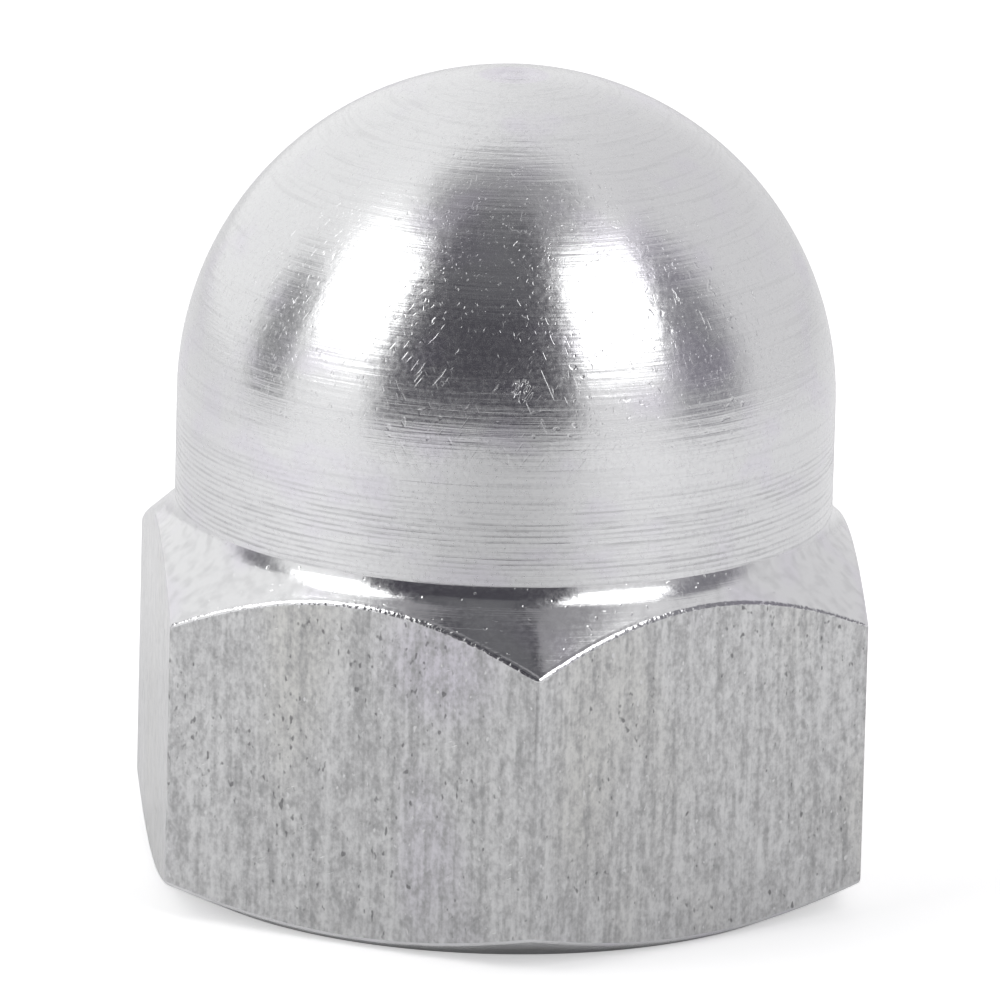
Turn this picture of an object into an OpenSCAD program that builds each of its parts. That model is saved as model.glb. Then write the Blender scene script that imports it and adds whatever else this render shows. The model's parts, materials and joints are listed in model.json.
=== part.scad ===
// Hexagonal cap nut with a high round crown, turned from hexagon bar.
// The origin is the centre of the bearing face and +Z points up through the crown.
// Two corners of the hexagon lie on the Y axis, and two flats face along the X axis.

/* [Hexagon] */
// Distance across two opposite flats
across_flats = 19; // [18.5:0.1:24]
// Height at which the top chamfer meets the middle of each flat
flat_top_h = 9.55; // [6:0.05:10]
// Slope of the top chamfer below the horizontal, in degrees
top_chamfer_angle = 42; // [20:1:45]
// How far the round edge of the bearing face lies inside the flats
seat_inset = 0.45; // [0.1:0.05:0.9]
// Slope of the bottom chamfer above the horizontal, in degrees
seat_chamfer_angle = 26; // [10:1:35]

/* [Crown] */
// Overall height from the bearing face to the faced tip
overall_h = 22.2; // [18:0.1:30]
// Diameter of the cylindrical neck and of the dome above it
dome_d = 18; // [14:0.1:18.4]
// Shortest neck kept below the dome, which is flatter than a hemisphere on a low nut
neck_min_l = 0.4; // [0.2:0.1:2]
// Diameter of the small flat faced on the tip
tip_flat_d = 2; // [0.6:0.1:5]
// Radius of the tool's nose, which leaves the fillet between the top chamfer and the neck
neck_fillet_r = 1; // [0.2:0.1:1.2]
// How deep the nose cuts in below the line of the chamfer and of the neck
neck_undercut = 0.01; // [0.01:0.01:0.08]

/* [Threaded hole] */
// Nominal diameter of the thread that the hole is tapped for
thread_d = 12; // [8:0.5:13]
// Pitch of the thread
thread_pitch = 1.75; // [1:0.25:2]
// Metal left between the drill point and the faced tip
crown_wall = 3.2; // [2:0.1:6]
// Included angle of the drill point at the blind end, in degrees
drill_point_angle = 118; // [90:1:140]
// How far the countersunk mouth passes the thread on each side
mouth_clearance = 0.4; // [0.1:0.1:1]
// Included angle of the countersunk mouth, in degrees
mouth_angle = 120; // [90:1:130]

/* [Hidden] */
$fn = 96;

// Length by which cutting shapes reach past what they cut
reach = 1;

// Radii of the flats, the corners, the crown, the bearing face and the turned blank
flat_r = across_flats / 2;
corner_r = flat_r / cos(30);
dome_r = dome_d / 2;
seat_r = flat_r - seat_inset;
outline_r = corner_r + reach;

// Height of the bottom chamfer at the blank's outline
seat_rise = (outline_r - seat_r) * tan(seat_chamfer_angle);

// Height at which the top chamfer's line meets the neck, and at the outline
neck_h = flat_top_h + (flat_r - dome_r) * tan(top_chamfer_angle);
shoulder_h = neck_h - (outline_r - dome_r) * tan(top_chamfer_angle);

// Place of the nose in that corner: a smaller nose there would just touch both lines
nose_gap = neck_fillet_r - neck_undercut;
nose_reach = nose_gap * tan((90 - top_chamfer_angle) / 2);
nose_centre = [dome_r + nose_gap, neck_h + nose_reach];
chamfer_end = [
    dome_r + nose_reach * cos(top_chamfer_angle),
    neck_h - nose_reach * sin(top_chamfer_angle)
];

// Height at which the nose cut ends on the neck
neck_foot_h = nose_centre[1] + sqrt(pow(neck_fillet_r, 2) - pow(nose_gap, 2));

// Crown: a dome on a neck of the same diameter, faced off at the tip. Its sphere passes
// through the neck's top edge and the edge of the flat tip.
tip_flat_r = tip_flat_d / 2;
hemisphere_h = overall_h - sqrt(pow(dome_r, 2) - pow(tip_flat_r, 2));
neck_top_h = max(hemisphere_h, neck_foot_h + neck_min_l);
dome_rise = overall_h - neck_top_h;
dome_centre_h = neck_top_h
    + (pow(dome_rise, 2) + pow(tip_flat_r, 2) - pow(dome_r, 2)) / (2 * dome_rise);
dome_sphere_r = norm([dome_r, neck_top_h - dome_centre_h]);

// Hole: a tapping drill leaves the nominal diameter less one pitch
bore_r = (thread_d - thread_pitch) / 2;
drill_tip_h = overall_h - crown_wall;
bore_top_h = drill_tip_h - bore_r / tan(drill_point_angle / 2);
mouth_r = thread_d / 2 + mouth_clearance;
mouth_depth = (mouth_r - bore_r) / tan(mouth_angle / 2);

// Half section of the lower part, with metal left for the fillet at the foot of the neck
module base_section() {
    polygon([
        [0, 0],
        [seat_r, 0],
        [outline_r, seat_rise],
        [outline_r, shoulder_h],
        chamfer_end,
        nose_centre,
        [0, nose_centre[1]]
    ]);
}

// Half section of the neck and the dome
module crown_section() {
    square([dome_r, neck_top_h]);
    intersection() {
        translate([0, dome_centre_h])
            circle(dome_sphere_r);
        square([dome_r, overall_h]);
    }
}

// Everything that the lathe turns on the outside, before the flats bound it
module turned_blank() {
    rotate_extrude()
        difference() {
            union() {
                base_section();
                crown_section();
            }
            translate(nose_centre)
                circle(neck_fillet_r);
        }
}

// Hexagon bar, long enough to hold the whole nut
module hexagon_bar() {
    translate([0, 0, -reach])
        rotate([0, 0, 30])
            cylinder(r = corner_r, h = overall_h + 2 * reach, $fn = 6);
}

// Blind hole at tapping size, with its drill point and countersunk mouth
module blind_hole() {
    translate([0, 0, -reach])
        cylinder(r = bore_r, h = bore_top_h + reach);
    translate([0, 0, bore_top_h])
        cylinder(r1 = bore_r, r2 = 0, h = drill_tip_h - bore_top_h);
    translate([0, 0, -reach])
        cylinder(r1 = mouth_r + reach * tan(mouth_angle / 2), r2 = bore_r, h = mouth_depth + reach);
}

module cap_nut() {
    color([0.78, 0.79, 0.8])
        difference() {
            intersection() {
                turned_blank();
                hexagon_bar();
            }
            blind_hole();
        }
}

cap_nut();
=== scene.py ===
import json
import math
import random

import bmesh
import bpy
from bpy.props import FloatProperty, FloatVectorProperty, IntProperty, PointerProperty
from bpy.types import Operator, Panel, PropertyGroup
from mathutils import Matrix, Vector


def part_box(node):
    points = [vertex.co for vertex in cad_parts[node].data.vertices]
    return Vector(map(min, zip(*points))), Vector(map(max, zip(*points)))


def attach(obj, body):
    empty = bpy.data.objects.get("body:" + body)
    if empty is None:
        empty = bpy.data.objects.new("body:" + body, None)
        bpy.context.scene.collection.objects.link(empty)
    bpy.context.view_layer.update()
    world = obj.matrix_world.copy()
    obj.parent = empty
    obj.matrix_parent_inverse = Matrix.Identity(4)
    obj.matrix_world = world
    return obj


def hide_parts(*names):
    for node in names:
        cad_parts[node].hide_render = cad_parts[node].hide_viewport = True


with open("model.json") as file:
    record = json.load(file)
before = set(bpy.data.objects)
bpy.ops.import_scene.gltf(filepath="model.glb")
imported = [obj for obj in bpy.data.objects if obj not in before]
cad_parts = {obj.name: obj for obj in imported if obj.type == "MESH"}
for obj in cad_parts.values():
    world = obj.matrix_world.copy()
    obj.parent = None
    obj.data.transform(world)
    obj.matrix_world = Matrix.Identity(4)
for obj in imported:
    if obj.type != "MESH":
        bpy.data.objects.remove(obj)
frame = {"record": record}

bl_info = {
    "name": "Turned cap nut",
    "version": (1, 0, 0),
    "blender": (4, 5, 0),
    "location": "3D View > Sidebar > Cap nut",
    "description": "A cap nut turned from aluminium hexagon bar, and a small studio to show it in",
    "category": "Add Mesh",
}

MM = 0.001
MICRON = 1e-6
WELD = 1e-8
UP = Vector((0, 0, 1))

# How far a blank or a cutting shape reaches past the surface that it is there to make
SPARE = MM

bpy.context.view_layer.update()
NUT_LOW, NUT_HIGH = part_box("cap_nut")
MOUNTS = {mount["name"]: mount for mount in frame["record"]["mounts"]}

# Order of the material slots on the nut
CROWN, CHAMFER, FLAT, SEAT, HOLE = range(5)


def length(name, description, millimetres):
    """A length that a user can change, given in millimetres and kept in metres."""
    return FloatProperty(
        name=name,
        description=description,
        default=millimetres * MM,
        min=0,
        precision=6,
        unit="LENGTH",
        subtype="DISTANCE",
    )


def angle(name, description, degrees):
    """An angle that a user can change, given in degrees and kept in radians."""
    return FloatProperty(
        name=name,
        description=description,
        default=math.radians(degrees),
        unit="ROTATION",
        subtype="ANGLE",
    )


def colour(name, description, red, green, blue):
    """A colour that a user can change."""
    return FloatVectorProperty(
        name=name,
        description=description,
        default=(red, green, blue),
        min=0,
        max=1,
        size=3,
        subtype="COLOR",
    )


def number(name, description, value):
    """A plain number that a user can change."""
    return FloatProperty(name=name, description=description, default=value, min=0)


class NutShape(PropertyGroup):
    """Sizes of the nut."""

    across_flats: length(
        "Across flats", "Distance across two opposite flats", (NUT_HIGH.x - NUT_LOW.x) / MM
    )
    flat_top: length("Flat height", "Height at which the top chamfer meets a flat's middle", 9.55)
    chamfer_slope: angle("Top chamfer", "Slope of the top chamfer below the horizontal", 42)
    seat_inset: length("Seat inset", "How far the bearing face lies inside the flats", 0.45)
    seat_slope: angle("Bottom chamfer", "Slope of the bottom chamfer above the horizontal", 26)
    edge_round: length("Edge rounding", "Width that the burr takes off each edge of a flat", 0.08)

    overall_height: length("Height", "Height from the bearing face to the tip", NUT_HIGH.z / MM)
    dome_diameter: length("Dome diameter", "Diameter of the neck and the dome", 18)
    tip_diameter: length("Tip flat", "Diameter of the small flat faced on the tip", 2)
    pip_diameter: length("Tip pip", "Diameter of the pip that the facing tool leaves", 0.7)
    pip_groove: length("Pip groove", "Depth of the groove round that pip", 0.02)
    nose_radius: length("Tool nose", "Radius left in the corner at the foot of the neck", 1)
    overlap: length("Corner overlap", "How far that corner runs on into the neck", 0.02)
    feed: length("Feed", "How far the turning tool moves along in one turn", 0.155)
    mark_depth: length("Turning marks", "Depth of the marks that the turning tool leaves", 0.0035)

    thread_diameter: length("Thread", "Nominal diameter of the thread", 12)
    pitch: length("Pitch", "Distance from one thread to the next", 1.75)
    bore_diameter: length(
        "Bore", "Diameter of the tapping drill", 2 * MOUNTS["thread"]["dims"]["r_mm"]
    )
    crown_wall: length("Crown wall", "Metal left above the drill point", 3.2)
    drill_angle: angle("Drill point", "Included angle of the drill point", 118)
    mouth_clearance: length("Mouth clearance", "How far the mouth passes the thread", 0.4)
    mouth_angle: angle("Mouth angle", "Included angle of the countersunk mouth", 120)
    full_thread: length("Full thread", "Depth to which the thread has its full height", 12.5)
    tap_lead: length("Tap lead", "Length over which the thread runs out", 2.8)

    turning_steps: IntProperty(
        name="Turning steps",
        description="Number of straight steps round the nut, a multiple of 12",
        default=192,
        min=24,
        step=12,
    )
    thread_steps: IntProperty(
        name="Thread steps",
        description="Number of straight steps round the thread",
        default=96,
        min=24,
    )


class NutFinish(PropertyGroup):
    """Colours of the bare metal."""

    turned: colour("Turned metal", "Freshly turned aluminium", 0.765, 0.767, 0.775)
    lilac: colour("Lilac film", "Thin film of dried coolant on the turned metal", 0.72, 0.69, 0.77)
    # Painted shade: on the crown this colour darkens the turning marks and the lines on the neck;
    # on the chamfers it darkens the mottle at random
    groove: colour("Grooves", "Turned metal where the marks hold a little dirt", 0.52, 0.52, 0.53)
    drawn: colour("Drawn metal", "Dull aluminium of the drawn bar", 0.755, 0.757, 0.759)
    scale: colour("Scale", "Greyer film on the drawn bar", 0.40, 0.40, 0.405)
    burnished: colour("Burnished spots", "Spots of the drawn bar rubbed bright", 0.76, 0.76, 0.765)
    stain: colour("Stain", "Yellowish stain on the drawn bar", 0.72, 0.715, 0.685)
    pit: colour("Pits", "Dirt held in the pits of the drawn bar", 0.18, 0.18, 0.185)


class Studio(PropertyGroup):
    """Camera, lamps, floor and tent round the nut."""

    camera_azimuth: angle("Camera azimuth", "Turn of the camera round the nut", -5.608)
    camera_elevation: angle("Camera elevation", "Height of the camera above the horizon", 15.391)
    camera_roll: angle("Camera roll", "Tilt of the camera about its own line of sight", 1.474)
    camera_distance: length("Camera distance", "From the aim point to the camera", 450)
    focal_length: FloatProperty(
        name="Focal length", description="Focal length of the lens", default=592.27, unit="CAMERA"
    )
    aim_height: length("Aim height", "Height of the point that the camera looks at", 10.2205)
    lamp_distance: length("Lamp distance", "From the nut to each lamp", 300)
    lamp_radiance: number("Lamp radiance", "How bright each soft box looks, where 1 is white", 2.8)
    floor_radius: length("Floor radius", "Radius of the pale floor", 600)
    floor: colour("Floor", "Colour of the floor", 0.94, 0.94, 0.94)
    # Painted shade: the floor takes this darker colour in a strip just in front of the nut
    floor_front_shade: colour("Floor in front", "Colour of the floor before the nut", 0.64, 0.64, 0.64)
    backdrop: colour("Backdrop", "Colour that the camera sees behind the nut", 1.0, 1.0, 1.0)
    tent_left: colour("Tent, left", "Shade of the tent on the left", 1.0, 1.0, 1.0)
    tent_right: colour("Tent, right", "Shade of the tent on the right", 0.77, 0.765, 0.775)
    tent_top: colour("Tent, top", "Shade of the tent straight above", 0.33, 0.325, 0.34)


# ---------------------------------------------------------------- shape

# Straight steps in the fillet at the foot of the neck, and in the rounding of an edge
FILLET_STEPS = 10
EDGE_STEPS = 3

# Turning marks: least and greatest depth, and depth on the neck, as shares of the usual one
MARK_DEPTHS = (0.2, 1.5)
NECK_MARKS = 3

# Points across the groove and the pip, as shares of the pip's radius and the groove's depth
PIP_PROFILE = ((1.5, 0), (1.3, 1), (1.1, 1), (0.8, 0.2), (0, 0.3))

# How far the tap's tooth starts inside the bore, and how far the tapered outline that bounds
# the tap clears the thread at its wide end and the bore at its narrow end
TOOTH_ROOT = 0.2 * MM
LEAD_CLEARANCE = 0.3 * MM
LEAD_UNDERCUT = 0.1 * MM

# Turns of the tap below the bearing face, and turns more than the thread has
TURNS_BELOW = 3
TURNS_MORE = 5

# Largest upright part of a flat's normal, and sharpest edge that is still shaded as smooth
UPRIGHT = 1e-4
SMOOTH_ANGLE = math.radians(28)


def arc(centre, radius, start, end, steps):
    """Points along an arc of a half section, from one angle to another."""
    return [
        (
            centre[0] + radius * math.cos(start + (end - start) * step / steps),
            centre[1] + radius * math.sin(start + (end - start) * step / steps),
        )
        for step in range(steps + 1)
    ]


def base_outline(shape):
    """Half section of the blank up to the foot of the neck, wider than the hexagon."""
    flat_r = shape.across_flats / 2
    dome_r = shape.dome_diameter / 2
    seat_r = flat_r - shape.seat_inset
    outer_r = flat_r / math.cos(math.radians(30)) + SPARE
    seat_rise = (outer_r - seat_r) * math.tan(shape.seat_slope)
    neck_line = shape.flat_top + (flat_r - dome_r) * math.tan(shape.chamfer_slope)
    shoulder = neck_line - (outer_r - dome_r) * math.tan(shape.chamfer_slope)

    nose_r = shape.nose_radius
    gap = nose_r - shape.overlap
    above = nose_r / math.cos(shape.chamfer_slope) - gap * math.tan(shape.chamfer_slope)
    centre = (dome_r + gap, neck_line + above)
    start = -math.pi / 2 - shape.chamfer_slope
    fillet = arc(centre, nose_r, start, math.acos(gap / nose_r) - math.pi, FILLET_STEPS)
    return [(0, 0), (seat_r, 0), (outer_r, seat_rise), (outer_r, shoulder)] + fillet


def dome_centre(shape):
    """Height of the centre of the dome."""
    dome_r = shape.dome_diameter / 2
    return shape.overall_height - math.sqrt(dome_r**2 - (shape.tip_diameter / 2) ** 2)


def crown_outline(shape, foot):
    """Half section of the neck and the dome from a height, with a shallow mark for each turn."""
    dome_r = shape.dome_diameter / 2
    centre = dome_centre(shape)
    neck = centre - foot
    sweep = math.acos(shape.tip_diameter / 2 / dome_r)
    turns = round((neck + dome_r * sweep) / shape.feed)
    chance = random.Random(7)
    outline = []
    for half_turn in range(1, 2 * turns + 1):
        along = (neck + dome_r * sweep) * half_turn / (2 * turns)
        turned = max(along - neck, 0) / dome_r
        height = centre + min(along - neck, 0)
        depth = half_turn % 2 * shape.mark_depth * chance.uniform(*MARK_DEPTHS)
        if along < neck:
            depth *= NECK_MARKS
        radius = dome_r - depth
        outline.append((radius * math.cos(turned), height + radius * math.sin(turned)))
    return outline


def tip_outline(shape):
    """Half section of the faced tip, from the pip's groove to the axis."""
    top = shape.overall_height
    pip_r = shape.pip_diameter / 2
    return [(pip_r * across, top - shape.pip_groove * down) for across, down in PIP_PROFILE]


def hole_outline(shape):
    """Half section of the drilled hole and its countersunk mouth, from below the nut."""
    bore_r = shape.bore_diameter / 2
    mouth_r = shape.thread_diameter / 2 + shape.mouth_clearance
    mouth_slope = math.tan(shape.mouth_angle / 2)
    tip = shape.overall_height - shape.crown_wall
    return [
        (0, -SPARE),
        (mouth_r + SPARE * mouth_slope, -SPARE),
        (bore_r, (mouth_r - bore_r) / mouth_slope),
        (bore_r, tip - bore_r / math.tan(shape.drill_angle / 2)),
        (0, tip),
    ]


def lathe(outline, steps):
    """Turns a half section, given as (radius, height) points, into a closed solid."""
    bm = bmesh.new()
    verts = [bm.verts.new((radius, 0, height)) for radius, height in outline]
    edges = [bm.edges.new(pair) for pair in zip(verts, verts[1:])]
    bmesh.ops.spin(
        bm,
        geom=verts + edges,
        axis=UP,
        angle=math.tau,
        steps=steps,
        use_merge=True,
    )
    bmesh.ops.remove_doubles(bm, verts=bm.verts, dist=WELD)
    bmesh.ops.recalc_face_normals(bm, faces=bm.faces)
    return bm


def cut_off(bm, place, facing):
    """Cuts away what lies beyond a plane and closes the cut with one face."""
    cut = bmesh.ops.bisect_plane(
        bm,
        geom=bm.verts[:] + bm.edges[:] + bm.faces[:],
        dist=WELD,
        plane_co=place,
        plane_no=facing,
        clear_outer=True,
    )
    rim = [item for item in cut["geom_cut"] if isinstance(item, bmesh.types.BMEdge)]
    bmesh.ops.holes_fill(bm, edges=rim, sides=0)


def is_flat(face, shape):
    """True for one of the six flats."""
    distance = face.normal.dot(face.calc_center_median())
    return abs(face.normal.z) < UPRIGHT and abs(distance - shape.across_flats / 2) < MICRON


def turned_blank(shape):
    """The nut as it leaves the lathe and the bar: crown, chamfers and six flats."""
    base = base_outline(shape)
    outline = base + crown_outline(shape, base[-1][1]) + tip_outline(shape)
    bm = lathe(outline, shape.turning_steps)
    for side in range(6):
        facing = Matrix.Rotation(math.radians(60 * side), 3, "Z") @ Vector((1, 0, 0))
        cut_off(bm, facing * shape.across_flats / 2, facing)
    bmesh.ops.recalc_face_normals(bm, faces=bm.faces)

    edges = [edge for edge in bm.edges if any(is_flat(face, shape) for face in edge.link_faces)]
    bmesh.ops.bevel(
        bm,
        geom=edges,
        offset=shape.edge_round,
        offset_type="OFFSET",
        segments=EDGE_STEPS,
        profile=0.5,
        affect="EDGES",
        material=-1,
    )
    return bm


def tap(shape):
    """What a tap sweeps out: its tooth carried round a right-hand helix, closed at both ends."""
    major_r = shape.thread_diameter / 2
    root_r = shape.bore_diameter / 2 - TOOTH_ROOT
    # Half of the flat at the tooth's crest, which is an eighth of the pitch wide
    crest = shape.pitch / 16
    foot = crest + (major_r - root_r) * math.tan(math.radians(30))
    tooth = [(root_r, -foot), (major_r, -crest), (major_r, crest), (root_r, foot)]
    end = shape.full_thread + shape.tap_lead
    turns = math.ceil(end / shape.pitch) + TURNS_MORE

    bm = bmesh.new()
    verts = [
        bm.verts.new((radius, 0, height + (turn - TURNS_BELOW) * shape.pitch))
        for turn in range(turns)
        for radius, height in tooth
    ]
    edges = [bm.edges.new(pair) for pair in zip(verts, verts[1:])]
    steps = shape.thread_steps
    bmesh.ops.spin(
        bm,
        geom=verts + edges,
        axis=UP,
        dvec=UP * shape.pitch / steps,
        angle=math.tau,
        steps=steps,
    )
    bmesh.ops.remove_doubles(bm, verts=bm.verts, dist=10 * WELD)
    cut_off(bm, UP * -SPARE, -UP)
    cut_off(bm, UP * (end + SPARE), UP)
    bmesh.ops.recalc_face_normals(bm, faces=bm.faces)
    return bm


def tap_lead(shape):
    """The tapered outline that the tap is ground to, so that the thread runs out."""
    wide = shape.thread_diameter / 2 + LEAD_CLEARANCE
    narrow = shape.bore_diameter / 2 - LEAD_UNDERCUT
    end = shape.full_thread + shape.tap_lead
    return [(0, -SPARE), (wide, -SPARE), (wide, shape.full_thread), (narrow, end), (0, end)]


def as_object(bm, name):
    """A scene object made from a bmesh, which is then done with."""
    mesh = bpy.data.meshes.new(name)
    bm.to_mesh(mesh)
    bm.free()
    made = bpy.data.objects.new(name, mesh)
    bpy.context.collection.objects.link(made)
    return made


def combine(body, tool, operation):
    """Adds a boolean modifier that uses the tool on the body."""
    modifier = body.modifiers.new(operation.title(), "BOOLEAN")
    modifier.operation = operation
    modifier.solver = "MANIFOLD"
    modifier.object = tool


def finished_mesh(body):
    """A plain mesh of the body with its modifiers applied."""
    evaluated = body.evaluated_get(bpy.context.evaluated_depsgraph_get())
    return bpy.data.meshes.new_from_object(evaluated)


def surface_of(face, shape, neck_foot):
    """The material slot for a face of the finished nut."""
    middle = face.calc_center_median()
    outward = face.normal.xy.dot(middle.xy)
    if outward < -MICRON and middle.z < shape.overall_height - shape.crown_wall:
        return HOLE
    if face.normal.z < -0.99 and middle.z < MICRON:
        return SEAT
    if middle.z >= neck_foot:
        return CROWN
    if abs(face.normal.z) < 0.05 and middle.xy.length > shape.dome_diameter / 2 + 0.3 * MM:
        return FLAT
    return CHAMFER


def finish_faces(mesh, shape):
    """Clears the slivers that cutting leaves, sets the material slots and marks sharp edges."""
    neck_foot = base_outline(shape)[-1][1]
    bm = bmesh.new()
    bm.from_mesh(mesh)
    bmesh.ops.remove_doubles(bm, verts=bm.verts, dist=MICRON)
    bmesh.ops.dissolve_degenerate(bm, edges=bm.edges, dist=MICRON)
    bm.normal_update()
    for face in bm.faces:
        face.material_index = surface_of(face, shape, neck_foot)
        face.smooth = True
    for edge in bm.edges:
        faces = edge.link_faces
        borders_flat = sum(is_flat(face, shape) for face in faces) == 1
        borders_neck = sum(face.material_index == CROWN for face in faces) == 1
        gentle = edge.calc_face_angle(0) < SMOOTH_ANGLE
        edge.smooth = gentle and not borders_flat and not borders_neck
    bm.to_mesh(mesh)
    bm.free()


# ---------------------------------------------------------------- materials

# Middle of a nick on the front of the dome and of a lilac stain on a flat, in millimetres
NICK = (-0.42, -8.67, 15.65)
FILM = (-2.5, -9.5, 8.3)

# Rise in the noise over which the side of a scratch falls away
SCRATCH_EDGE = 0.08

# How far inside a flat's plane the burr on its edge begins, and is full, in millimetres
BURR_BEGINS = 0.12
BURR_FULL = 0.03


def feed_socket(tree, socket, value):
    """Connects another node's output to a socket, or sets the socket to a plain value."""
    if isinstance(value, bpy.types.NodeSocket):
        tree.links.new(value, socket)
    else:
        socket.default_value = value


def add_node(tree, kind, inputs=None, **settings):
    """Adds a shader node, sets its options and fills or connects its inputs."""
    made = tree.nodes.new("ShaderNode" + kind)
    for name, value in settings.items():
        setattr(made, name, value)
    for key, value in (inputs or {}).items():
        feed_socket(tree, made.inputs[key], value)
    return made


def maths(tree, operation, *values):
    """Output of a Math node."""
    return add_node(tree, "Math", dict(enumerate(values)), operation=operation).outputs[0]


def vector_maths(tree, operation, *values):
    """Vector output of a Vector Math node."""
    made = add_node(tree, "VectorMath", dict(enumerate(values)), operation=operation)
    return made.outputs["Vector"]


def measure(tree, operation, *values):
    """Number that a Vector Math node gives, such as a length or a distance."""
    made = add_node(tree, "VectorMath", dict(enumerate(values)), operation=operation)
    return made.outputs["Value"]


def parts_of(tree, vector):
    """X, Y and Z of a vector."""
    return add_node(tree, "SeparateXYZ", {0: vector}).outputs


def scaled(tree, vector, factors):
    """A vector stretched along each axis by a Mapping node."""
    return add_node(tree, "Mapping", {"Vector": vector, "Scale": factors}).outputs[0]


def noise(tree, vector, detail=2.0, roughness=0.5):
    """Value of a Noise texture."""
    inputs = {"Vector": vector, "Scale": 1.0, "Detail": detail, "Roughness": roughness}
    return add_node(tree, "TexNoise", inputs).outputs[0]


def speckle(tree, place, cells, detail=2.0, roughness=0.5):
    """Noise with about so many cells to a millimetre, the same every way or along X, Y and Z."""
    along_axes = cells if isinstance(cells, tuple) else (cells, cells, cells)
    return noise(tree, scaled(tree, place, along_axes), detail, roughness)


def ramp(tree, value, low, high, to_low=0.0, to_high=1.0):
    """A value carried from one range to another, smoothly and without passing its ends."""
    inputs = {0: value, 1: low, 2: high, 3: to_low, 4: to_high}
    return add_node(tree, "MapRange", inputs, interpolation_type="SMOOTHSTEP").outputs[0]


def mixed(tree, share, first, second):
    """A colour between two colours, each a plain colour or another node's output."""
    made = add_node(tree, "Mix", data_type="RGBA", clamp_factor=True)
    feed_socket(tree, made.inputs[0], share)
    for socket, shade in ((made.inputs[6], first), (made.inputs[7], second)):
        plain_colour = not isinstance(shade, bpy.types.NodeSocket)
        feed_socket(tree, socket, (*shade, 1) if plain_colour else shade)
    return made.outputs[2]


def metal(name, spread=0.0):
    """A new bare-metal material: its node tree and its shader.

    The spread blurs reflections up and down the nut, across the marks left by turning.
    """
    material = bpy.data.materials.new(name)
    material.use_nodes = True
    tree = material.node_tree
    shader = tree.nodes["Principled BSDF"]
    shader.inputs["Metallic"].default_value = 1
    if spread:
        shader.inputs["Anisotropic"].default_value = spread
        upward = add_node(tree, "CombineXYZ", {"Z": 1.0}).outputs[0]
        tree.links.new(upward, shader.inputs["Tangent"])
    return material, tree, shader


def relief(tree, shader, height):
    """Connects a height in microns to the shader as relief."""
    bump = add_node(tree, "Bump", {"Strength": 1.0, "Distance": MICRON, "Height": height})
    tree.links.new(bump.outputs[0], shader.inputs["Normal"])


def stacked(tree, *layers):
    """Sum of several values, each given with the factor it is multiplied by."""
    total = 0.0
    for value, factor in layers:
        total = maths(tree, "MULTIPLY_ADD", value, factor, total)
    return total


def place_in_mm(tree):
    """Position on the nut in millimetres."""
    place = add_node(tree, "TexCoord").outputs["Object"]
    return scaled(tree, place, (1 / MM, 1 / MM, 1 / MM))


def around_axis(tree, place):
    """Direction round the axis, and distance from it, of a position."""
    across = vector_maths(tree, "MULTIPLY", place, (1, 1, 0))
    return vector_maths(tree, "NORMALIZE", across), measure(tree, "LENGTH", across)


def along_crown(tree, place, distance, shape):
    """Distance along the neck and over the dome, measured from the dome's equator."""
    above = maths(tree, "SUBTRACT", parts_of(tree, place)["Z"], dome_centre(shape) / MM)
    turned = maths(tree, "ARCTAN2", maths(tree, "MAXIMUM", above, 0.0), distance)
    over = maths(tree, "MULTIPLY", turned, shape.dome_diameter / 2 / MM)
    return maths(tree, "ADD", over, maths(tree, "MINIMUM", above, 0.0))


def on_cylinder(tree, around, along, around_scale, along_scale):
    """A seamless texture position from a direction round the axis and a distance along it."""
    ring = vector_maths(tree, "MULTIPLY", around, (around_scale, around_scale, 0))
    rise = add_node(tree, "CombineXYZ", {"Z": maths(tree, "MULTIPLY", along, along_scale)})
    return vector_maths(tree, "ADD", ring, rise.outputs[0])


def scratches(tree, place, turn, length, width, rarity):
    """Short straight scratches in one direction, as 1 in a scratch and 0 beside it."""
    turned = add_node(tree, "Mapping", {"Vector": place, "Rotation": turn}).outputs[0]
    cells = speckle(tree, turned, (1 / length, 1 / width, 1 / width), 0.0)
    return ramp(tree, cells, rarity, rarity + SCRATCH_EDGE)


def blot(tree, place, middle, inner, outer):
    """1 round a point on the nut and 0 farther away from it, in millimetres."""
    return ramp(tree, measure(tree, "DISTANCE", place, middle), outer, inner)


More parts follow.
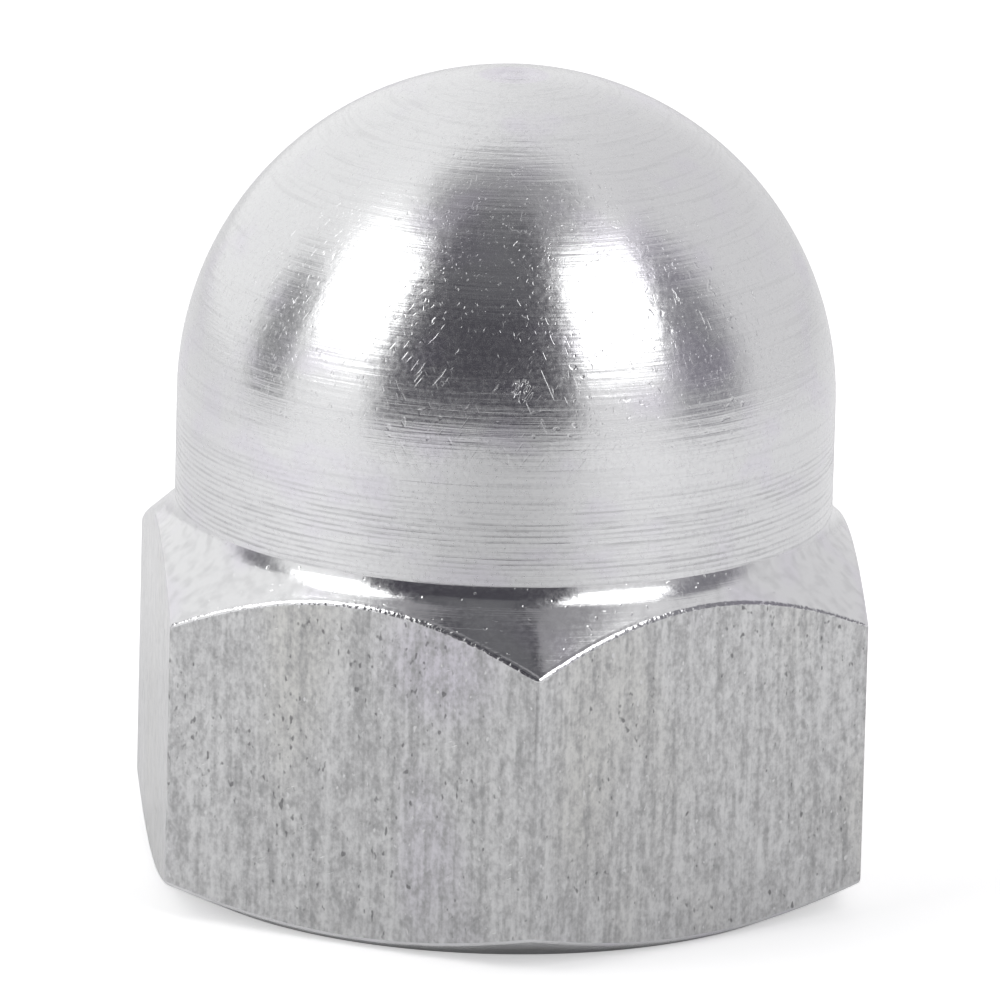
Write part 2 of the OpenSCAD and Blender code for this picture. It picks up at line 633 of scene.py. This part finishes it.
def turned_crown(shape, finish):
    """Neck and dome: turning marks with painted shade along them, fine grain, and short scratches
    from handling.
    """
    material, tree, shader = metal("turned_crown", 0.55)
    place = place_in_mm(tree)
    around, distance = around_axis(tree, place)
    along = along_crown(tree, place, distance, shape)

    marks = noise(tree, on_cylinder(tree, around, along, 1.6, 6.5), 2.0, 0.7)
    grain = speckle(tree, place, 8.5, 2.0, 0.6)
    mottle = speckle(tree, place, 2.4, 1.0)
    spread = speckle(tree, place, 0.9, 0.0)
    dents = speckle(tree, place, 5.5, 0.0)
    dents = ramp(tree, maths(tree, "MULTIPLY_ADD", spread, 0.3, dents), 0.92, 1.02)
    worn = ramp(tree, along, -0.5, 1.0)
    dents = maths(tree, "MULTIPLY", dents, worn)
    upright = ramp(tree, noise(tree, on_cylinder(tree, around, along, 90.0, 2.2), 1.0), 0.70, 0.80)
    rising = scratches(tree, place, (0.0, 0.95, 0.0), 0.9, 0.06, 0.745)
    falling = scratches(tree, place, (0.0, -1.15, 0.25), 0.8, 0.06, 0.755)
    handled = stacked(tree, (upright, -2.0), (rising, -2.5), (falling, -2.5))
    handled = maths(tree, "MULTIPLY", handled, worn)
    gouges = scratches(tree, place, (0.0, 1.1, 0.0), 0.6, 0.07, 0.48)
    gouges = maths(tree, "MULTIPLY", gouges, blot(tree, place, NICK, 0.2, 0.36))
    wander = noise(tree, on_cylinder(tree, around, along, 2.2, 2.0), 1.0)
    phase = maths(tree, "MULTIPLY", along, math.tau * MM / shape.feed)
    wave = maths(tree, "SINE", maths(tree, "MULTIPLY_ADD", wander, 4.0, phase))
    on_neck = ramp(tree, along, -1.1, -0.2, 1.0, 0.0)
    breaks = noise(tree, on_cylinder(tree, around, along, 9.0, 8.0), 1.0)
    lines = maths(tree, "MULTIPLY", ramp(tree, wave, -0.3, 0.9), ramp(tree, marks, 0.30, 0.56))
    lines = maths(tree, "MULTIPLY", lines, ramp(tree, breaks, 0.35, 0.6, 0.35, 1.1))
    lines = maths(tree, "MULTIPLY", lines, on_neck)
    height = stacked(
        tree,
        (marks, 11.0),
        (grain, 1.9),
        (mottle, 6.0),
        (dents, -4.0),
        (handled, 1.0),
        (gouges, -14.0),
        (lines, -3.0),
    )
    relief(tree, shader, height)

    clouds = speckle(tree, place, (0.45, 0.45, 0.6), 2.0)
    film = ramp(tree, clouds, 0.5, 0.72, 0.0, 0.5)
    shade = mixed(tree, film, finish.turned, finish.lilac)
    shade = mixed(tree, ramp(tree, distance, 1.05, 0.85, 0.0, 0.6), shade, finish.lilac)
    # Painted shade along the turning marks and the lines on the neck, with a little darker grain
    # at random
    mark_shade_and_grain = stacked(tree, (lines, 0.6), (ramp(tree, marks, 0.50, 0.7), 0.2))
    mark_shade_and_grain = maths(tree, "ADD", mark_shade_and_grain, ramp(tree, grain, 0.4, 0.8, 0.0, 0.15))
    shade = mixed(tree, mark_shade_and_grain, shade, finish.groove)
    tree.links.new(shade, shader.inputs["Base Color"])
    tree.links.new(ramp(tree, grain, 0.3, 0.7, 0.20, 0.28), shader.inputs["Roughness"])
    return material


def turned_chamfer(shape, finish):
    """Both chamfers and the burred edges of the flats: a bright cut with rings."""
    material, tree, shader = metal("turned_chamfer", 0.4)
    place = place_in_mm(tree)
    around, distance = around_axis(tree, place)

    rings = noise(tree, on_cylinder(tree, around, distance, 1.3, 10.0), 3.0, 0.65)
    grain = speckle(tree, place, 9, 2.0, 0.6)
    mottle = speckle(tree, place, 2.6, 1.0)
    dents = ramp(tree, speckle(tree, place, 7, 0.0), 0.76, 0.85)
    reach = maths(tree, "ABSOLUTE", parts_of(tree, place)["X"])
    for side in (math.radians(60), math.radians(-60)):
        other = measure(tree, "DOT_PRODUCT", place, (math.cos(side), math.sin(side), 0))
        reach = maths(tree, "MAXIMUM", reach, maths(tree, "ABSOLUTE", other))
    flat = shape.across_flats / 2 / MM
    burr = speckle(tree, place, 7, 1.0)
    at_edge = ramp(tree, reach, flat - BURR_BEGINS, flat - BURR_FULL)
    burr = maths(tree, "MULTIPLY", burr, at_edge)
    height = stacked(
        tree, (rings, 7.0), (grain, 1.8), (mottle, 5.0), (dents, -5.0), (burr, 18.0)
    )
    relief(tree, shader, height)

    clouds = speckle(tree, place, 0.5, 1.0)
    film = ramp(tree, clouds, 0.5, 0.7, 0.0, 0.5)
    shade = mixed(tree, film, finish.turned, finish.lilac)
    shade = mixed(tree, ramp(tree, mottle, 0.4, 0.8, 0.0, 0.4), shade, finish.groove)
    tree.links.new(shade, shader.inputs["Base Color"])
    tree.links.new(ramp(tree, grain, 0.3, 0.7, 0.14, 0.22), shader.inputs["Roughness"])
    return material


def drawn_flat(shape, finish):
    """The flats of the bar: dull, mottled, streaked along the bar and pitted."""
    material, tree, shader = metal("drawn_flat")
    place = place_in_mm(tree)

    streaks = speckle(tree, place, (4, 4, 0.22), 3.0, 0.6)
    grain = speckle(tree, place, (8.5, 8.5, 6.5), 2.0, 0.6)
    mottle = speckle(tree, place, (3.6, 3.6, 1.8), 2.0, 0.6)
    specks = speckle(tree, place, (6.2, 6.2, 3.8), 1.0)
    crowding = speckle(tree, place, (0.5, 0.5, 0.3), 1.0)
    dark = maths(tree, "SUBTRACT", specks, ramp(tree, crowding, 0.35, 0.7, 0.08, -0.02))
    dark = ramp(tree, dark, 0.64, 0.76)
    light = ramp(tree, specks, 0.30, 0.22)
    nicks = scratches(tree, place, (0.5, 0.4, 0.9), 0.5, 0.07, 0.76)

    height = stacked(
        tree, (streaks, 3.0), (grain, 3.5), (mottle, 6.0), (dark, -8.0), (nicks, -6.0)
    )
    relief(tree, shader, height)

    clouds = speckle(tree, place, (0.25, 0.25, 0.12), 1.0)
    shade = mixed(tree, ramp(tree, clouds, 0.5, 0.75, 0.0, 0.7), finish.drawn, finish.stain)
    film = maths(tree, "MULTIPLY", blot(tree, place, FILM, 0.5, 2.4), 0.75)
    film = maths(tree, "MAXIMUM", film, ramp(tree, clouds, 0.42, 0.28, 0.0, 0.5))
    shade = mixed(tree, film, shade, finish.lilac)
    uneven = stacked(tree, (grain, 0.35), (streaks, 0.4), (mottle, 0.4))
    shade = mixed(tree, ramp(tree, uneven, 0.40, 0.80), shade, finish.scale)
    shade = mixed(tree, light, shade, finish.burnished)
    shade = mixed(tree, maths(tree, "MULTIPLY", dark, 0.75), shade, finish.pit)
    tree.links.new(shade, shader.inputs["Base Color"])
    gloss = ramp(tree, grain, 0.3, 0.7, 0.40, 0.50)
    sideways = add_node(tree, "LayerWeight", {"Blend": 0.5}).outputs["Facing"]
    gloss = ramp(tree, sideways, 0.6, 0.88, gloss, 0.15)
    tree.links.new(gloss, shader.inputs["Roughness"])
    return material


def faced_seat(shape, finish):
    """Bearing face: rings left by the facing tool."""
    material, tree, shader = metal("faced_seat")
    place = place_in_mm(tree)
    around, distance = around_axis(tree, place)
    rings = noise(tree, on_cylinder(tree, around, distance, 0.8, 7.0), 2.0, 0.6)
    relief(tree, shader, maths(tree, "MULTIPLY", rings, 5.0))
    shade = mixed(tree, ramp(tree, rings, 0.4, 0.7, 0.0, 0.4), finish.turned, finish.stain)
    tree.links.new(shade, shader.inputs["Base Color"])
    tree.links.new(ramp(tree, rings, 0.3, 0.7, 0.22, 0.34), shader.inputs["Roughness"])
    return material


def tapped_hole(shape, finish):
    """Thread, bore and drill point: duller metal with a little dried oil."""
    material, tree, shader = metal("tapped_hole")
    place = place_in_mm(tree)
    around, _ = around_axis(tree, place)
    rings = noise(tree, on_cylinder(tree, around, parts_of(tree, place)["Z"], 1.5, 8.0), 2.0, 0.6)
    clouds = speckle(tree, place, (0.8, 0.8, 0.5), 2.0)
    relief(tree, shader, maths(tree, "MULTIPLY", rings, 4.0))
    shade = mixed(tree, ramp(tree, clouds, 0.4, 0.75, 0.0, 0.8), finish.turned, finish.stain)
    tree.links.new(shade, shader.inputs["Base Color"])
    tree.links.new(ramp(tree, rings, 0.3, 0.7, 0.24, 0.4), shader.inputs["Roughness"])
    return material


# ---------------------------------------------------------------- stage

# Soft-edged patches of the tent, laid over one another: azimuths, elevations, how soft the
# upright and the level edges are, and the shade, all angles in degrees from the camera's side
TENT_PATCHES = (
    ((-48, 26), (0, 81), 5, 4, (0.07, 0.067, 0.08)),
    ((-33, 10), (46, 84), 14, 6, (0.16, 0.16, 0.17)),
    ((-103, -84), (-6, 31), 6, 7, (0.24, 0.24, 0.25)),
    ((62, 92), (-4, 50), 9, 6, (0.24, 0.235, 0.26)),
)

# Where the tent changes from its left to its right shade, across the camera's view
TENT_SIDES = (-0.3, 0.5)

# Middle of the dull top of the tent in degrees, as azimuth and elevation, and the cosines of
# the angles from it at which the top's shade begins and is full
TENT_TOP = (-12, 80)
TENT_TOP_EDGE = (0.87, 0.95)

# Soft boxes: name, azimuth, elevation and lean in degrees, and the width and height that they
# take up as seen from the nut, in degrees
SOFT_BOXES = (
    ("left_soft_box", -65.7, 38, 5, 24, 31.5),
    ("right_soft_box", 46.5, 39, -8, 27, 32.5),
)

# Painted sheen, a glow on the floor below each soft box that the metal mirrors: azimuth in
# degrees, reach in millimetres, strength.
# Each lies at the same distance from the nut, and is full over the same small radius.
PAINTED_FLOOR_SHEEN = ((-67, 50, 0.13), (37, 32, 0.10))
SHEEN_DISTANCE = 45
SHEEN_MIDDLE = 5

# Glow of the floor as the camera sees it, and as the metal mirrors it
FLOOR_SEEN = 0.45
FLOOR_MIRRORED = 0.05

# Painted shade: the duller strip of floor in front of the nut, in millimetres: where its middle
# lies, how far to each side it begins and ends to brighten, and the same towards the back
STRIP_MIDDLE = -3
STRIP_SIDES = (10, 45)
STRIP_BACK = (-50, 30)
FLOOR_SIDES = 96

# How far the point that the camera looks at lies to the right of the nut's axis
AIM_ASIDE = -0.0986 * MM


def towards(azimuth, elevation):
    """Unit vector from the nut to a place round it. Azimuth 0 is in front, at -Y."""
    level = Vector((math.sin(azimuth), -math.cos(azimuth), 0))
    return level * math.cos(elevation) + UP * math.sin(elevation)


def plain(name, shade):
    """A matt material of one colour, for the stage."""
    material = bpy.data.materials.new(name)
    material.use_nodes = True
    shader = material.node_tree.nodes["Principled BSDF"]
    shader.inputs["Base Color"].default_value = (*shade, 1)
    shader.inputs["Roughness"].default_value = 0.9
    shader.inputs["Specular IOR Level"].default_value = 0
    return material


def soft_box(name, azimuth, elevation, lean, width, height, studio, aim):
    """A soft box that faces the nut, leaning a little to one side."""
    lamp = bpy.data.lights.new(name, "AREA")
    lamp.shape = "RECTANGLE"
    lamp.size = 2 * studio.lamp_distance * math.tan(math.radians(width / 2))
    lamp.size_y = 2 * studio.lamp_distance * math.tan(math.radians(height / 2))
    lamp.energy = studio.lamp_radiance * math.pi * lamp.size * lamp.size_y
    made = bpy.data.objects.new(name, lamp)
    direction = towards(math.radians(azimuth) + studio.camera_azimuth, math.radians(elevation))
    turn = direction.to_track_quat("Z", "Y").to_matrix().to_4x4()
    place = Matrix.Translation(aim + direction * studio.lamp_distance)
    made.matrix_world = place @ turn @ Matrix.Rotation(math.radians(lean), 4, "Z")
    bpy.context.collection.objects.link(made)


def pale_floor(studio):
    """The floor: it takes the nut's shadow and shows white where nothing shades it.

    It has painted shade just in front of the nut, and a painted sheen below each soft box.
    """
    bm = bmesh.new()
    bmesh.ops.create_circle(bm, cap_ends=True, segments=FLOOR_SIDES, radius=studio.floor_radius)
    made = as_object(bm, "floor")
    material = plain("pale_floor", studio.floor)
    tree = material.node_tree
    place = place_in_mm(tree)
    path = add_node(tree, "LightPath").outputs
    mirrored = maths(tree, "ADD", path["Is Glossy Ray"], path["Is Transmission Ray"])
    # Painted sheen: a glow below each soft box that only glossy and transmission rays see
    sheen = []
    for azimuth, reach, strength in PAINTED_FLOOR_SHEEN:
        middle = towards(studio.camera_azimuth + math.radians(azimuth), 0) * SHEEN_DISTANCE
        sheen.append((blot(tree, place, middle, SHEEN_MIDDLE, reach), strength))
    sheen = maths(tree, "ADD", stacked(tree, *sheen), FLOOR_MIRRORED)
    mirrored = maths(tree, "MULTIPLY", mirrored, sheen)
    seen = maths(tree, "MULTIPLY_ADD", path["Is Camera Ray"], FLOOR_SEEN, mirrored)
    shader = tree.nodes["Principled BSDF"]
    shader.inputs["Emission Color"].default_value = (1, 1, 1, 1)
    tree.links.new(seen, shader.inputs["Emission Strength"])
    # Painted shade: the floor colour is darker in a strip in front of the nut, and full beyond it
    part = parts_of(tree, place)
    aside = maths(tree, "ABSOLUTE", maths(tree, "SUBTRACT", part["X"], STRIP_MIDDLE))
    aside = ramp(tree, aside, *STRIP_SIDES)
    behind = ramp(tree, part["Y"], *STRIP_BACK)
    bright = maths(tree, "MAXIMUM", aside, behind)
    shade = mixed(tree, bright, studio.floor_front_shade, studio.floor)
    tree.links.new(shade, shader.inputs["Base Color"])
    made.data.materials.append(material)


def within(tree, value, low, high, soft):
    """1 between two values and 0 outside them, with soft edges."""
    rising = ramp(tree, value, low - soft, low + soft)
    falling = ramp(tree, value, high - soft, high + soft, 1.0, 0.0)
    return maths(tree, "MULTIPLY", rising, falling)


def pale_tent(studio):
    """The world: a pale tent with a dark opening on the camera's side and a dull top."""
    world = bpy.data.worlds.new("pale_tent")
    world.use_nodes = True
    tree = world.node_tree
    direction = add_node(tree, "TexCoord").outputs["Generated"]
    turned = add_node(
        tree, "Mapping", {"Vector": direction, "Rotation": (0, 0, -studio.camera_azimuth)}
    )
    turned = turned.outputs[0]
    part = parts_of(tree, turned)
    facing = maths(tree, "MULTIPLY", part["Y"], -1.0)
    azimuth = maths(tree, "DEGREES", maths(tree, "ARCTAN2", part["X"], facing))
    elevation = maths(tree, "DEGREES", maths(tree, "ARCSINE", part["Z"]))

    rightward = ramp(tree, part["X"], *TENT_SIDES)
    shade = mixed(tree, rightward, studio.tent_left, studio.tent_right)
    top = towards(*map(math.radians, TENT_TOP))
    near_top = ramp(tree, measure(tree, "DOT_PRODUCT", turned, top), *TENT_TOP_EDGE)
    shade = mixed(tree, near_top, shade, studio.tent_top)
    for azimuths, elevations, soft_sides, soft_ends, patch in TENT_PATCHES:
        upright = within(tree, azimuth, *azimuths, soft_sides)
        level = within(tree, elevation, *elevations, soft_ends)
        shade = mixed(tree, maths(tree, "MULTIPLY", upright, level), shade, patch)
    path = add_node(tree, "LightPath").outputs
    shade = mixed(tree, path["Is Camera Ray"], shade, studio.backdrop)
    background = tree.nodes["Background"]
    tree.links.new(shade, background.inputs["Color"])
    bpy.context.scene.world = world


def camera(studio):
    """The camera, level with the shoulders of the nut and a little above it."""
    data = bpy.data.cameras.new("camera")
    data.lens = studio.focal_length
    data.clip_start = 0.01
    data.clip_end = 10
    made = bpy.data.objects.new("camera", data)
    turn = Matrix.Rotation(studio.camera_azimuth, 4, "Z")
    tip = Matrix.Rotation(math.pi / 2 - studio.camera_elevation, 4, "X")
    roll = Matrix.Rotation(studio.camera_roll, 4, "Z")
    back = towards(studio.camera_azimuth, studio.camera_elevation) * studio.camera_distance
    aim = UP * studio.aim_height + (turn @ Vector((AIM_ASIDE, 0, 0)))
    made.matrix_world = Matrix.Translation(aim + back) @ turn @ tip @ roll
    bpy.context.collection.objects.link(made)
    bpy.context.scene.camera = made


# ---------------------------------------------------------------- add-on


class CAPNUT_OT_make_nut(Operator):
    """Make the cap nut: crown, chamfers, flats, threaded hole and finishes"""

    bl_idname = "cap_nut.make_nut"
    bl_label = "Make the nut"

    def execute(self, context):
        shape = context.scene.nut_shape
        finish = context.scene.nut_finish
        blank = as_object(turned_blank(shape), "blank")
        drill = as_object(lathe(hole_outline(shape), shape.thread_steps), "drill")
        thread = as_object(tap(shape), "tap")
        lead = as_object(lathe(tap_lead(shape), shape.thread_steps), "tap_lead")
        combine(thread, lead, "INTERSECT")
        combine(blank, drill, "DIFFERENCE")
        combine(blank, thread, "DIFFERENCE")

        mesh = finished_mesh(blank)
        for part in (blank, drill, thread, lead):
            bpy.data.objects.remove(part)
        mesh.name = "cap_nut_metal"
        mesh.materials.clear()
        for make_material in (turned_crown, turned_chamfer, drawn_flat, faced_seat, tapped_hole):
            mesh.materials.append(make_material(shape, finish))
        finish_faces(mesh, shape)
        nut = bpy.data.objects.new("cap_nut_metal", mesh)
        context.collection.objects.link(nut)
        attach(nut, "root")
        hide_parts("cap_nut")
        return {"FINISHED"}


class CAPNUT_OT_set_stage(Operator):
    """Set the stage: camera, pale floor, pale tent and two soft boxes"""

    bl_idname = "cap_nut.set_stage"
    bl_label = "Set the stage"

    def execute(self, context):
        studio = context.scene.nut_studio
        aim = UP * studio.aim_height
        camera(studio)
        pale_tent(studio)
        pale_floor(studio)
        for settings in SOFT_BOXES:
            soft_box(*settings, studio, aim)
        context.scene.view_settings.view_transform = "Standard"
        return {"FINISHED"}


class CAPNUT_PT_sidebar(Panel):
    """Sizes, finishes and studio of the cap nut"""

    bl_idname = "CAPNUT_PT_sidebar"
    bl_label = "Cap nut"
    bl_space_type = "VIEW_3D"
    bl_region_type = "UI"
    bl_category = "Cap nut"

    def draw(self, context):
        for operator in OPERATORS:
            self.layout.operator(operator.bl_idname)
        scene = context.scene
        for settings in (scene.nut_shape, scene.nut_finish, scene.nut_studio):
            box = self.layout.box()
            for name in settings.__annotations__:
                box.prop(settings, name)


OPERATORS = (CAPNUT_OT_make_nut, CAPNUT_OT_set_stage)
CLASSES = (NutShape, NutFinish, Studio, *OPERATORS, CAPNUT_PT_sidebar)


def register():
    """Makes the classes and the settings of the scene known to Blender."""
    for item in CLASSES:
        bpy.utils.register_class(item)
    bpy.types.Scene.nut_shape = PointerProperty(type=NutShape)
    bpy.types.Scene.nut_finish = PointerProperty(type=NutFinish)
    bpy.types.Scene.nut_studio = PointerProperty(type=Studio)


def unregister():
    """Undoes what register did."""
    del bpy.types.Scene.nut_studio
    del bpy.types.Scene.nut_finish
    del bpy.types.Scene.nut_shape
    for item in reversed(CLASSES):
        bpy.utils.unregister_class(item)


def main():
    """Makes the nut and its stage."""
    register()
    bpy.ops.cap_nut.make_nut()
    bpy.ops.cap_nut.set_stage()


if __name__ == "__main__":
    main()
